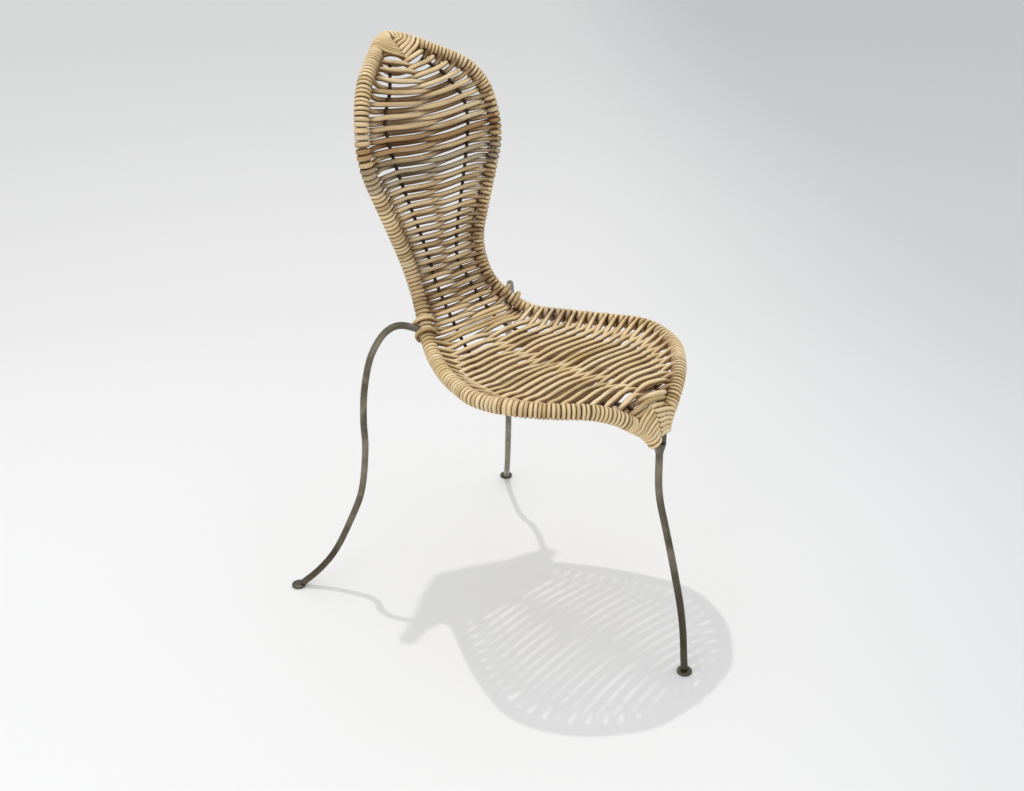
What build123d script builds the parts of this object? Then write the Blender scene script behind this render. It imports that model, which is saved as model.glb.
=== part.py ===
from build123d import *
import os
from math import acos, ceil, cos, hypot, pi, radians, sin, sqrt, tan

# A woven side chair on three legs, in millimetres.
# +Z is up and the chair faces -Y. X = 0 is its plane of symmetry, and the origin is on the floor
# under the middle of its box. Two bent steel rods run side by side from the front tip, round the
# seat, in to the waist, round the back and together again at the top tip. Each is bound with a coil
# of cane. Two thin stakes run between them, and canes woven over and under the stakes fill the frame.

# Stock
ROD_DIAMETER = 12.0
ROD_SIDES = 10
STAKE_DIAMETER = 6.0
CANE_DIAMETER = 6.6
CANE_SIDES = 6
WRAP_DIAMETER = 26.0  # a rail with its coil of cane
LASHING_DIAMETER = 7.6  # the thicker canes that bind the rear legs' roots
LASHING_SWEEP = 200.0  # degrees that each one goes round the outside of the rail
LASHING_RUNS = 6  # straight runs that make up its turn
LASHING_LEG_GAP = 1.5  # between it and the slanting root
LASHING_COIL_GAP = 0.7  # between it and the coil's corners

# Fits
WELD_GAP = 0.2
COIL_CLEARANCE = 0.2
CANE_CLEARANCE = 0.4
WEAVE_GAP = 1.2  # from a woven cane's cut end to the coil that it tucks under or over

# Side rail: half widths and depths of its bend points, from the front tip to the top tip
TIP_HALF_WIDTH = 6.3
FRONT_TIP_DEPTH = -259.0
LIP_HALF_WIDTH = 20.0
LIP_DEPTH = -249.0
FRONT_HALF_WIDTH = 94.0
FRONT_DEPTH = -224.0
CORNER_HALF_WIDTH = 174.0
CORNER_DEPTH = -157.0
SEAT_HALF_WIDTH = 211.0
SEAT_DEPTH = -71.0
SEAT_REAR_HALF_WIDTH = 171.0
SEAT_REAR_DEPTH = 38.0
HIP_HALF_WIDTH = 116.0
HIP_DEPTH = 131.0
WAIST_HALF_WIDTH = 80.0
WAIST_DEPTH = 188.0
WAIST_TOP_DEPTH = 217.0
BACK_HALF_WIDTH = 155.0
BACK_DEPTH = 231.0
SHOULDER_HALF_WIDTH = 132.0
SHOULDER_DEPTH = 253.0
CROWN_HALF_WIDTH = 28.0
CROWN_DEPTH = 323.0
TOP_TIP_SETBACK = 22.0  # behind the crown's bend
TOP_TIP_OVERRUN = 4.0  # past the plane of symmetry, where the two rods are mitred together

# Side rail: its height at the seat, drops from there, and rises from each bend of the back to the next
SEAT_HEIGHT = 483.0
FRONT_TIP_DROP = 85.0
LIP_DROP = 60.0
FRONT_DROP = 7.0
SEAT_REAR_DROP = 6.0
HIP_DROP = 3.0
WAIST_RISE = 54.0
WAIST_TOP_RISE = 69.0
BACK_RISE = 182.0
SHOULDER_RISE = 102.0
CROWN_RISE = 51.5
TOP_TIP_RISE = 8.5
FRONT_TIP_HEIGHT = SEAT_HEIGHT - FRONT_TIP_DROP
HIP_HEIGHT = SEAT_HEIGHT - HIP_DROP
WAIST_HEIGHT = HIP_HEIGHT + WAIST_RISE
WAIST_TOP_HEIGHT = WAIST_HEIGHT + WAIST_TOP_RISE
BACK_HEIGHT = WAIST_TOP_HEIGHT + BACK_RISE
SHOULDER_HEIGHT = BACK_HEIGHT + SHOULDER_RISE
CROWN_HEIGHT = SHOULDER_HEIGHT + CROWN_RISE
BEND_SHARE = 0.45  # of the shorter run beside a bend, taken up by its arc
ROD_CHORD_ERROR = 1.0  # between a bent rod's arcs and the straight facets that stand for them
STAKE_CHORD_ERROR = 0.3

# Waist crossbar and rear legs: where they meet the rail, as lengths along its centre line
BAR_STATION = 545.0
LEG_STATION = 566.0

# Rear legs: distances out from the rail and heights of each one's bend points, the upper two from
# the height of the seat
REAR_FOOT_SPREAD = 278.3
REAR_FOOT_DEPTH = 329.4
LEG_ARCH_REACH = 45.0
LEG_ARCH_RISE = 36.0
LEG_KNEE_REACH = 93.0
LEG_KNEE_RISE = 1.0
LEG_SHANK_REACH = 117.0
LEG_SHANK_HEIGHT = 363.0
LEG_CALF_REACH = 107.0
LEG_CALF_HEIGHT = 230.0
LEG_ANKLE_REACH = 184.0
LEG_ANKLE_HEIGHT = 59.0

# Front leg: depths and heights of its bend points
FRONT_FOOT_DEPTH = -334.9
FRONT_SHANK_DEPTH = -261.0
FRONT_SHANK_HEIGHT = 312.0
FRONT_CALF_DEPTH = -291.0
FRONT_CALF_HEIGHT = 220.0
FRONT_ANKLE_DEPTH = -324.0
FRONT_ANKLE_HEIGHT = 104.0
LEG_HEAD_LENGTH = 18.0
LEG_HEAD_FLARE = 0.4  # how far the head stands out past the two rods that it carries

# Feet
FOOT_DIAMETER = 25.0
FOOT_THICKNESS = 5.0

# Stakes: half spacing at each named place, and how far they hang below or behind the rails there
STAKE_LIP = (60.0, 20.0, 5.0)
STAKE_SLOPE = (95.0, 32.0, 4.0)
STAKE_FRONT = (135.0, 47.0, 7.0)
STAKE_CORNER = (240.0, 108.0, 17.0)
STAKE_SEAT = (320.0, 130.0, 20.0)
STAKE_SEAT_REAR = (400.0, 118.0, 17.0)
STAKE_HIP = (483.0, 68.0, 11.6)
STAKE_BAR = (BAR_STATION, 46.0, 0.0)
STAKE_WAIST = (640.0, 36.0, -2.0)
STAKE_LOWER_BACK = (700.0, 35.0, 2.0)
STAKE_BACK = (910.0, 91.0, 5.0)
STAKE_SHOULDER = (991.0, 66.0, 3.0)
STAKE_CROWN = (1060.0, 35.0, 3.0)
STAKE_SIDES = 8

# Weave: pitches are measured along the side profile
SEAT_ROW_PITCH = 8.3
WAIST_ROW_PITCH = 8.3
BACK_ROW_PITCH = 7.2
UPPER_BACK_ROW_PITCH = 8.8
FIRST_SEAT_ROW = 92.0
WAIST_TOP_STATION = 650.0
UPPER_BACK_STATION = 850.0
LAST_BACK_ROW = 1040.0
SEAT_MIDDLE_STATION = 235.0
SEAT_REAR_STATION = 395.0
ROW_SKEW = 16.0  # how far a row's ends lead its middle at the rear of the seat
SKEW_START = 330.0
SKEW_END = 530.0

# Coils on the rails
COIL_START = 8.0
COIL_END_MARGIN = 12.0
COIL_SIDES = 10
BORE_SIDES = 6
CROSSING_STEPS = 5  # Newton steps to where a row crosses a stake

# Tips: canes that come over the rails and meet in a herringbone at the centre
FRONT_CHEVRON_STATION = 32.0
TOP_CHEVRON_STATION = 1071.0
FRONT_CHEVRON_CANES = 5
TOP_CHEVRON_CANES = 6
CHEVRON_PITCH = 9.4
CHEVRON_ADVANCE = 16.0
CHEVRON_LIFT = 4.0
CHEVRON_GAP = -0.5  # from each cane's end to the coil's corners: the cane lies on one of its flats

ROD_RADIUS = ROD_DIAMETER / 2
STAKE_RADIUS = STAKE_DIAMETER / 2
CANE_RADIUS = CANE_DIAMETER / 2
WRAP_RADIUS = WRAP_DIAMETER / 2
STAKE_PLACES = (
    STAKE_LIP, STAKE_SLOPE, STAKE_FRONT, STAKE_CORNER, STAKE_SEAT, STAKE_SEAT_REAR, STAKE_HIP,
    STAKE_BAR, STAKE_WAIST, STAKE_LOWER_BACK, STAKE_BACK, STAKE_SHOULDER, STAKE_CROWN,
)


def bent_line(points):
    """Straight runs through the points, joined by arcs as large as the shorter run allows."""
    points = [Vector(*point) for point in points]
    radii = []
    for before, corner, after in zip(points, points[1:], points[2:]):
        run_in = corner - before
        run_out = after - corner
        half_turn = radians(run_in.get_angle(run_out)) / 2
        radii.append(BEND_SHARE * min(run_in.length, run_out.length) / tan(half_turn))
    return Wire(FilletPolyline(*points, radius=radii).edges())


def rail_line():
    """Centre line of the right-hand rail, from the front tip to the top tip."""
    return bent_line([
        (TIP_HALF_WIDTH, FRONT_TIP_DEPTH, FRONT_TIP_HEIGHT),
        (LIP_HALF_WIDTH, LIP_DEPTH, SEAT_HEIGHT - LIP_DROP),
        (FRONT_HALF_WIDTH, FRONT_DEPTH, SEAT_HEIGHT - FRONT_DROP),
        (CORNER_HALF_WIDTH, CORNER_DEPTH, SEAT_HEIGHT),
        (SEAT_HALF_WIDTH, SEAT_DEPTH, SEAT_HEIGHT),
        (SEAT_REAR_HALF_WIDTH, SEAT_REAR_DEPTH, SEAT_HEIGHT - SEAT_REAR_DROP),
        (HIP_HALF_WIDTH, HIP_DEPTH, HIP_HEIGHT),
        (WAIST_HALF_WIDTH, WAIST_DEPTH, WAIST_HEIGHT),
        (WAIST_HALF_WIDTH, WAIST_TOP_DEPTH, WAIST_TOP_HEIGHT),
        (BACK_HALF_WIDTH, BACK_DEPTH, BACK_HEIGHT),
        (SHOULDER_HALF_WIDTH, SHOULDER_DEPTH, SHOULDER_HEIGHT),
        (CROWN_HALF_WIDTH, CROWN_DEPTH, CROWN_HEIGHT),
        (-TOP_TIP_OVERRUN, CROWN_DEPTH + TOP_TIP_SETBACK, CROWN_HEIGHT + TOP_TIP_RISE),
    ])


RAIL = rail_line()


def rail_point(station):
    """Point of the right-hand rail's centre line."""
    return RAIL.position_at(station, PositionMode.LENGTH)


def rail_tangent(station):
    """Direction of the right-hand rail's centre line."""
    return RAIL.tangent_at(station, PositionMode.LENGTH)


def profile_normal(tangent):
    """Unit vector square to a rod's side profile: up on the seat, forward on the back."""
    return Vector(0, -tangent.Z, tangent.Y).normalized()


def rail_normal(station):
    """Normal of the right-hand rail's side profile."""
    return profile_normal(rail_tangent(station))


def stake_line():
    """Centre line of the right-hand stake, from under the front chevron to under the top one."""
    points = []
    for station, half_spacing, dish in STAKE_PLACES:
        at_rail = rail_point(station)
        points.append(Vector(half_spacing, at_rail.Y, at_rail.Z) - rail_normal(station) * dish)
    return bent_line(points)


STAKE = stake_line()


def stake_crossing(station):
    """Where the right-hand stake crosses the plane square to the rail's profile, and its normal."""
    at_rail = rail_point(station)
    normal = rail_normal(station)
    along_profile = Vector(0, normal.Z, -normal.Y)
    first, last = STAKE_PLACES[0][0], STAKE_PLACES[-1][0]
    length = STAKE.length * (station - first) / (last - first)
    for _ in range(CROSSING_STEPS):
        miss = (STAKE.position_at(length, PositionMode.LENGTH) - at_rail).dot(along_profile)
        length -= miss / STAKE.tangent_at(length, PositionMode.LENGTH).dot(along_profile)
    tangent = STAKE.tangent_at(length, PositionMode.LENGTH)
    return STAKE.position_at(length, PositionMode.LENGTH), profile_normal(tangent)


def mirrored(point):
    """The same point on the other side of the chair."""
    return Vector(-point.X, point.Y, point.Z)


def facets(line, chord_error):
    """Lengths along a bent line, and its points there, whose chords stand for its arcs."""
    stations = [0]
    points = [line @ 0]
    for edge in line.order_edges():
        pieces = 1
        if edge.geom_type == GeomType.CIRCLE:
            facet_turn = 2 * acos(1 - chord_error / edge.radius)
            pieces = ceil(edge.length / edge.radius / facet_turn)
        for number in range(pieces):
            stations.append(stations[-1] + edge.length / pieces)
            points.append(edge @ ((number + 1) / pieces))
    return stations, points


RAIL_FACETS = facets(RAIL, ROD_CHORD_ERROR)


def rail_stretch(start, end):
    """Corner points of the faceted rail between two stations, both ends included."""
    stations, points = RAIL_FACETS
    stretch = []
    for low, high, before, after in zip(stations, stations[1:], points, points[1:]):
        for station in (start, end):
            if low <= station < high:
                stretch.append((station, before + (after - before) * ((station - low) / (high - low))))
        if start < high < end:
            stretch.append((high, after))
    return [point for _, point in sorted(stretch, key=lambda place: place[0])]


def tube(points, section):
    """A section swept through points and mitred at each."""
    path = Polyline(*points)
    start = Plane(origin=path @ 0, z_dir=path % 0)
    return sweep(start * section, path=path, transition=Transition.RIGHT)


def rod(line, radius):
    """A rod along a bent line, its section drawn with many sides."""
    return tube(facets(line, ROD_CHORD_ERROR)[1], RegularPolygon(radius, ROD_SIDES))


def cane(points, diameter):
    """A cane bent through points."""
    return tube(points, RegularPolygon(diameter / 2, CANE_SIDES))


def largest(shape):
    """The biggest solid of a shape that was cut."""
    return max(shape.solids(), key=lambda solid: solid.volume)


def right_half(shape):
    """What lies right of the plane of symmetry, less half a weld gap."""
    cut = split(shape, bisect_by=Plane.YZ.offset(WELD_GAP / 2), keep=Keep.TOP)
    return largest(cut)


def rail_part(start, end, radius):
    """A plain tube round part of the rail's centre line."""
    return tube(rail_stretch(start, end), RegularPolygon(radius, ROD_SIDES))


def side_rail():
    """Bent rod of one side, cut level on the leg's head and mitred at both tips."""
    level = split(rod(RAIL, ROD_RADIUS), bisect_by=Plane.XY.offset(FRONT_TIP_HEIGHT), keep=Keep.TOP)
    return right_half(largest(level))


def front_leg():
    """Bent rod from the front foot, with a head that flares to carry the two rails."""
    head_bottom = FRONT_TIP_HEIGHT - LEG_HEAD_LENGTH
    line = bent_line([
        (0, FRONT_TIP_DEPTH, head_bottom),
        (0, FRONT_SHANK_DEPTH, FRONT_SHANK_HEIGHT),
        (0, FRONT_CALF_DEPTH, FRONT_CALF_HEIGHT),
        (0, FRONT_ANKLE_DEPTH, FRONT_ANKLE_HEIGHT),
        (0, FRONT_FOOT_DEPTH, FOOT_THICKNESS),
    ])
    shank = rod(line, ROD_RADIUS)
    neck = Plane(origin=line @ 0, z_dir=-(line % 0)) * RegularPolygon(ROD_RADIUS, ROD_SIDES)
    head_top = FRONT_TIP_HEIGHT - WELD_GAP
    mouth = Plane(origin=(0, FRONT_TIP_DEPTH, head_top)) * SlotOverall(
        2 * (TIP_HALF_WIDTH + ROD_RADIUS + LEG_HEAD_FLARE), ROD_DIAMETER + LEG_HEAD_FLARE)
    leg = shank + loft([neck.face(), mouth.face()])
    return largest(split(leg, bisect_by=Plane.XY.offset(FOOT_THICKNESS), keep=Keep.TOP))


def rear_leg_line():
    """Centre line of the right-hand rear leg, in the upright plane through its root and foot."""
    root = rail_point(LEG_STATION)
    out = Vector(REAR_FOOT_SPREAD - root.X, REAR_FOOT_DEPTH - root.Y)
    outward = out.normalized()
    bends = [
        (0, root.Z),
        (LEG_ARCH_REACH, SEAT_HEIGHT + LEG_ARCH_RISE),
        (LEG_KNEE_REACH, SEAT_HEIGHT + LEG_KNEE_RISE),
        (LEG_SHANK_REACH, LEG_SHANK_HEIGHT),
        (LEG_CALF_REACH, LEG_CALF_HEIGHT),
        (LEG_ANKLE_REACH, LEG_ANKLE_HEIGHT),
        (out.length, 0),
    ]
    return bent_line([(root.X + outward.X * reach, root.Y + outward.Y * reach, height)
                      for reach, height in bends])


def rear_leg():
    """Arched rod, coped round the rail at its root and cut level on its foot."""
    around_root = rail_part(LEG_STATION - WRAP_DIAMETER, LEG_STATION + WRAP_DIAMETER,
                            ROD_RADIUS + WELD_GAP)
    leg = rod(rear_leg_line(), ROD_RADIUS) - around_root
    return largest(split(largest(leg), bisect_by=Plane.XY.offset(FOOT_THICKNESS), keep=Keep.TOP))


def foot(x, y):
    """Flat disc, its underside on the floor."""
    disc = Cylinder(FOOT_DIAMETER / 2, FOOT_THICKNESS, align=(Align.CENTER, Align.CENTER, Align.MIN))
    return Pos(x, y, 0) * disc


def bar_axis():
    """Depth and height of the crossbar, which lies just under the stakes."""
    drop = STAKE_RADIUS + CANE_CLEARANCE + ROD_RADIUS
    return rail_point(BAR_STATION) - rail_normal(BAR_STATION) * (drop + STAKE_BAR[2])


def bar_blank(radius):
    """A round bar across the waist, from one rail's centre to the other's."""
    axis = bar_axis()
    return Plane(origin=(0, axis.Y, axis.Z), z_dir=(1, 0, 0)) * Cylinder(radius, 2 * axis.X)


def waist_crossbar():
    """Straight rod between the rails, coped round both."""
    around_end = rail_part(BAR_STATION - WRAP_DIAMETER, BAR_STATION + WRAP_DIAMETER,
                           ROD_RADIUS + WELD_GAP)
    return largest(bar_blank(ROD_RADIUS) - around_end - mirror(around_end, about=Plane.YZ))


def coil(start, end):
    """The coil of cane on a stretch of rail, as one faceted sleeve round the rod."""
    bore = RegularPolygon(ROD_RADIUS + COIL_CLEARANCE, BORE_SIDES, major_radius=False)
    return tube(rail_stretch(start, end), RegularPolygon(WRAP_RADIUS, COIL_SIDES) - bore)


def seat_coil():
    """Coil from the front tip to the crossbar."""
    around_bar = bar_blank(ROD_RADIUS + CANE_CLEARANCE)
    return right_half(coil(COIL_START, BAR_STATION) - around_bar)


def back_coil():
    """Coil from the crossbar to the top tip, open where the rear leg comes out."""
    around_bar = bar_blank(ROD_RADIUS + CANE_CLEARANCE)
    around_leg = rod(rear_leg_line(), ROD_RADIUS + CANE_CLEARANCE)
    end = RAIL.length - COIL_END_MARGIN
    return right_half(coil(BAR_STATION + COIL_CLEARANCE, end) - around_bar - around_leg)


def leg_lashing():
    """Two thick canes that bind the rear leg's root, each round the outer side of the coil."""
    loops = []
    run_half_angle = radians(LASHING_SWEEP / LASHING_RUNS / 2)
    turn_radius = (WRAP_RADIUS + LASHING_COIL_GAP + LASHING_DIAMETER / 2) / cos(run_half_angle)
    slant = (rear_leg_line() % 0).dot(rail_tangent(LEG_STATION))
    across = sqrt(1 - slant ** 2)
    drift = turn_radius * slant / across
    spacing = ROD_RADIUS / across + LASHING_LEG_GAP + LASHING_DIAMETER / 2
    for side in (-1, 1):
        station = LEG_STATION + drift + side * spacing
        loop_plane = Plane(origin=rail_point(station), x_dir=Vector(1, 0, 0), z_dir=rail_tangent(station))
        points = []
        for number in range(LASHING_RUNS + 1):
            angle = radians(LASHING_SWEEP * (number / LASHING_RUNS - 0.5))
            points.append(loop_plane.from_local_coords(
                Vector(turn_radius * cos(angle), turn_radius * sin(angle), 0)))
        loops.append(cane(points, LASHING_DIAMETER))
    return loops


def stake():
    """Thin rod between the rails."""
    return tube(facets(STAKE, STAKE_CHORD_ERROR)[1], RegularPolygon(STAKE_RADIUS, STAKE_SIDES))


def coil_exit(station, towards, lift, gap):
    """Where a cane that heads from the rail towards a point comes clear of the coil by the gap."""
    start = rail_point(station) + rail_normal(station) * lift
    direction = (towards - start).normalized()
    tangent = rail_tangent(station)
    away = rail_normal(station) * lift
    away = (away - direction * away.dot(direction)).normalized()
    edge = start - rail_point(station) - away * CANE_RADIUS
    edge -= tangent * edge.dot(tangent)
    along = direction.dot(tangent)
    step = direction - tangent * along
    across = step.length
    half_linear = edge.dot(step)
    outside = edge.length ** 2 - (WRAP_RADIUS + gap) ** 2
    reach = (sqrt(half_linear ** 2 - across ** 2 * outside) - half_linear) / across ** 2
    return start + direction * (reach + abs(along) * CANE_RADIUS / across)


def row_stations(first, last, pitch):
    """Stations from first to last whose spacing along the side profile is the pitch."""
    stations = []
    station = first
    while station <= last:
        stations.append(station)
        tangent = rail_tangent(station)
        station += pitch / hypot(tangent.Y, tangent.Z)
    return stations


def row_skew(station):
    """How far a row's ends lead its middle: most at the rear of the seat, none in front of it."""
    share = (station - SKEW_START) / (SKEW_END - SKEW_START)
    return ROW_SKEW * sin(pi * min(max(share, 0), 1))


def woven_half(station, side):
    """Coil end and crest of a cane over (side 1) or under (side -1) the right-hand stake."""
    crossing, normal = stake_crossing(station)
    end_station = station + row_skew(station)
    tuck = -side * (WRAP_RADIUS - CANE_RADIUS)
    lift = STAKE_RADIUS + CANE_RADIUS + CANE_CLEARANCE
    crest = crossing + normal * (side * lift)
    rise = (crest - coil_exit(end_station, crest, tuck, WEAVE_GAP)).normalized().dot(normal)
    crest = crossing + normal * (side * lift / sqrt(1 - rise ** 2))
    return [coil_exit(end_station, crest, tuck, WEAVE_GAP), crest]


def woven_row(station, over_left):
    """One cane: over one stake and under the other, tucked the other way at each rail."""
    side = 1 if over_left else -1
    left = [mirrored(point) for point in woven_half(station, side)]
    right = woven_half(station, -side)
    return cane(left + right[::-1], CANE_DIAMETER)


def chevron_cane(station, advance):
    """One cane of a tip's herringbone, from the coil to the plane of symmetry."""
    tuck = WRAP_RADIUS - CANE_RADIUS
    normal = rail_normal(station + advance)
    centre = rail_point(station + advance) + normal * CHEVRON_LIFT
    centre = Vector(0, centre.Y, centre.Z)
    start = rail_point(station) + rail_normal(station) * tuck
    direction = (centre - start).normalized()
    end_tilt = sqrt(1 - direction.X ** 2)
    meet = centre + Vector(CANE_RADIUS * end_tilt + CANE_CLEARANCE / 2, 0, 0)
    return cane([coil_exit(station, meet, tuck, CHEVRON_GAP), meet], CANE_DIAMETER)


def chevron(first, count, advance):
    """The right-hand canes of one tip."""
    return [chevron_cane(first + CHEVRON_PITCH * number, advance) for number in range(count)]


def bar_margin():
    """Length of rail on each side of the crossbar that no row may cross."""
    tangent = rail_tangent(BAR_STATION)
    return (ROD_RADIUS + CANE_RADIUS + CANE_CLEARANCE) / hypot(tangent.Y, tangent.Z)


def weave_groups():
    """Node name and canes of every part of the weave."""
    bar_low = BAR_STATION - bar_margin()
    bar_high = BAR_STATION + bar_margin()
    seat = row_stations(FIRST_SEAT_ROW, bar_low, SEAT_ROW_PITCH)
    waist = row_stations(bar_high, WAIST_TOP_STATION, WAIST_ROW_PITCH)
    back = row_stations(waist[-1] + WAIST_ROW_PITCH, UPPER_BACK_STATION, BACK_ROW_PITCH)
    upper = row_stations(back[-1] + UPPER_BACK_ROW_PITCH, LAST_BACK_ROW, UPPER_BACK_ROW_PITCH)
    zones = {
        "seat_front": [s for s in seat if s < SEAT_MIDDLE_STATION],
        "seat_middle": [s for s in seat if SEAT_MIDDLE_STATION <= s < SEAT_REAR_STATION],
        "seat_rear": [s for s in seat if s >= SEAT_REAR_STATION],
        "back_waist": waist,
        "back_middle": back,
        "back_upper": upper,
    }
    groups = {}
    number = 0
    for zone, stations in zones.items():
        groups[zone + "_canes_over_left"] = []
        groups[zone + "_canes_over_right"] = []
        for station in stations:
            over_left = number % 2 == 0
            side = "left" if over_left else "right"
            groups[zone + "_canes_over_" + side].append(woven_row(station, over_left))
            number += 1
    return groups


def write(name, *shapes):
    """One node: its solids, kept apart in one file."""
    solids = [solid for shape in shapes for solid in shape.solids()]
    shape = solids[0] if len(solids) == 1 else Compound(children=solids)
    shape.label = name
    export_step(shape, os.path.join("parts", name + ".step"))


def write_pair(name, *shapes):
    """A right-hand node and its mirror image on the left."""
    write("right_" + name, *shapes)
    write("left_" + name, *[mirror(shape, about=Plane.YZ) for shape in shapes])


os.makedirs("parts", exist_ok=True)
write_pair("side_rail", side_rail())
write("front_leg", front_leg())
write_pair("rear_leg", rear_leg())
write("waist_crossbar", waist_crossbar())
write_pair("stake", stake())
write("front_foot", foot(0, FRONT_FOOT_DEPTH))
write_pair("rear_foot", foot(REAR_FOOT_SPREAD, REAR_FOOT_DEPTH))
write_pair("seat_coil", seat_coil())
write_pair("back_coil", back_coil())
write_pair("leg_lashing", *leg_lashing())
write_pair("front_chevron", *chevron(FRONT_CHEVRON_STATION, FRONT_CHEVRON_CANES, CHEVRON_ADVANCE))
write_pair("top_chevron", *chevron(TOP_CHEVRON_STATION, TOP_CHEVRON_CANES, -CHEVRON_ADVANCE))
for group_name, canes in weave_groups().items():
    write(group_name, *canes)
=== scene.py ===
from math import acos, atan2, cos, hypot, pi, radians, sin, tan

import bpy
import numpy as np
from numpy.linalg import norm
from mathutils import Matrix, Vector


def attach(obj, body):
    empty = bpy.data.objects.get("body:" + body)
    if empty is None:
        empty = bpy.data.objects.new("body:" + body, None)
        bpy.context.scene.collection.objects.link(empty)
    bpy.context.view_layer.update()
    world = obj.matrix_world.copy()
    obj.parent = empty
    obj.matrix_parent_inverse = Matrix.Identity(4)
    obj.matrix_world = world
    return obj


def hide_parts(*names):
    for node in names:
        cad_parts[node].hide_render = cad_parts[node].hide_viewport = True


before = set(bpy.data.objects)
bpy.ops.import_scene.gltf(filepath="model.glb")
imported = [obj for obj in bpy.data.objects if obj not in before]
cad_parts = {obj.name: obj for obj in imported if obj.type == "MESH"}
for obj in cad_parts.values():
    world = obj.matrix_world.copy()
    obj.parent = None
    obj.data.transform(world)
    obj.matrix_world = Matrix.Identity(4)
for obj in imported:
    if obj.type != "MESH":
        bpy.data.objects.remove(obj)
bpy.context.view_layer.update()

# Lengths are in millimetres, and every mesh is scaled to metres when it is made.
MM = 0.001

# Camera
IMAGE_WIDTH = 1024
FOCAL_PIXELS = 1200.0
SENSOR_WIDTH = 36.0
CAMERA_PLACE = (-1358.06, -1208.20, 1270.66)
CAMERA_HEADING = (radians(-47.1055), radians(25.671))  # azimuth and elevation

# Stock
ROD_RADIUS = 6.0
STAKE_RADIUS = 3.0
COIL_RADIUS = 3.5  # of cane where it winds round a rail
CANE_SPREAD = 0.25  # most that a cane's radius differs from the usual one
WRAP_RADIUS = 13.0  # a rail with its coil of cane
WRAP_CLEARANCE = 0.05
MIDDLE_CLEARANCE = 0.2  # between a turn of cane and the plane of symmetry
LASHING_RADIUS = 4.1
LASHING_TURN = WRAP_RADIUS + LASHING_RADIUS + 0.1  # radius of its middle line
LASHING_SWEEP = radians(250)
LASHING_GAP = 0.6  # between a lashing and the leg beside it
LASHING_TUCK = 2.2  # by which its ends lie nearer to the rail
LASHING_SPLAY = 1.5  # by which its ends lie further from the leg
FOOT_RADIUS = 12.5
FOOT_THICKNESS = 5.0
FOOT_OUTLINE = (  # share of its radius, and height
    (0.9, 0.0), (0.97, 0.2), (1.0, 0.7), (1.0, 3.6), (0.975, 4.5), (0.92, 4.9), (0.5, 5.0),
)
LEG_LIFT = 0.6  # of a leg's lowest ring over its foot
BEND_SHARE = 0.45  # of the shorter run beside a bend, taken up by its arc

# Bend points of the right-hand rail, from the front tip to the top tip
RAIL_BENDS = (
    (6.3, -259, 398), (20, -249, 423), (94, -224, 476), (174, -157, 483), (211, -71, 483),
    (171, 38, 477), (116, 131, 480), (80, 188, 534), (80, 217, 603), (155, 231, 785),
    (132, 253, 887), (28, 323, 938.5), (-4, 345, 947),
)

# Front leg, and the right-hand rear leg as distances out from its root and heights
FRONT_LEG_BENDS = (
    (0, -259, 380), (0, -261, 312), (0, -291, 220), (0, -324, 104), (0, -334.9, 0),
)
REAR_LEG_PLACES = (
    (22.9, 509.5), (42.7, 513.5), (60, 508), (78, 490), (97, 452), (109, 396), (113.5, 339), (113.5, 281),
    (124, 200.4), (147.1, 138.9), (177.9, 75.9), (211.6, 33.3),
)
REAR_FOOT = (278.3, 329.4)
FRONT_FOOT = (0.0, -334.9)
LEG_HEAD_TOP = 397.8
LEG_HEAD_LENGTH = 18.0
LEG_HEAD_HALF_WIDTH = 12.7
LEG_HEAD_HALF_DEPTH = 6.2
BAR_STATION = 545.0
LEG_STATION = 566.0
BAR_DROP = 9.4
RAIL_TOP_TRIM = 13.0  # by which a rail ends short of the top tip, inside its canes

# Stakes: station, half spacing there, and depth below the rails
STAKE_PLACES = (
    (60, 20, 5), (95, 32, 4), (135, 47, 7), (240, 108, 17), (320, 130, 20), (400, 118, 17),
    (483, 68, 11.6), (545, 46, 0), (640, 36, -2), (700, 35, 2), (910, 91, 5), (991, 66, 3),
    (1060, 35, 3),
)

# Weave: zones with their first stations and pitches along the side profile
FIRST_ROW = 67.5
SEAT_MIDDLE_STATION = 235.0
SEAT_REAR_STATION = 395.0
BAR_MARGIN = 12.2
SEAT_PITCH = 8.3
WAIST_TOP_STATION = 650.0
BACK_PITCH = 7.2
UPPER_BACK_STATION = 850.0
UPPER_PITCH = 8.8
LAST_ROW = 1082.0
BAR_ROW_PITCH = 7.6  # of the rows above the crossbar, which lie over both stakes
BAR_ROW_RADIUS = 3.6
BAR_ROW_STEP = 3.2  # by which every other one of them lies lower
FRONT_ROWS_END = 108.0  # station before which the rows lie over both stakes
STAKE_END = 1056.0
STAKE_NARROWING = 0.3  # of the rows' crossings past the stakes' ends
STAKE_SEARCH = 80.0  # length of stake beside the expected place in which a crossing is looked for
WOVEN_RADII = (  # station and radius of a row's cane between the rails
    (75, 4.6), (130, 4.8), (200, 4.4), (500, 4.3), (640, 4.0), (690, 3.65), (850, 3.7), (880, 4.35),
    (1082, 4.2),
)
TURN_PITCH = 7.5  # of the coil's turns round a rail, where the rows leave room
TURN_ROOM = 6.9  # least distance between the turns of two rows
TURN_SWEEP = radians(285)
TURN_DRIFT = 1.0  # most that a turn wanders along its rail
TURN_FILL = 0.49  # half a turn's thickness along the rail, as a share of the room for it
TURN_SQUASH = (0.8, 1.4)  # least and most that its thickness there differs from its own
EVENING = 8  # times that the spacings of the turns are evened out
SIDES = ("left", "right")
REACHES = {  # station, and run inward from each rail on which a row leaves it squarely
    "left": ((75, 15), (200, 21), (300, 26)),
    "right": ((75, 13), (200, 18), (300, 22)),
}
ROWS_BOW = (  # station, and how far a row's middle lies past its crossings of the stakes
    (75, 4), (130, 8), (200, 10), (300, 10), (400, 8), (480, 4), (533, 0), (650, -1), (760, -2),
    (880, -6), (1058, -8),
)
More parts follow.
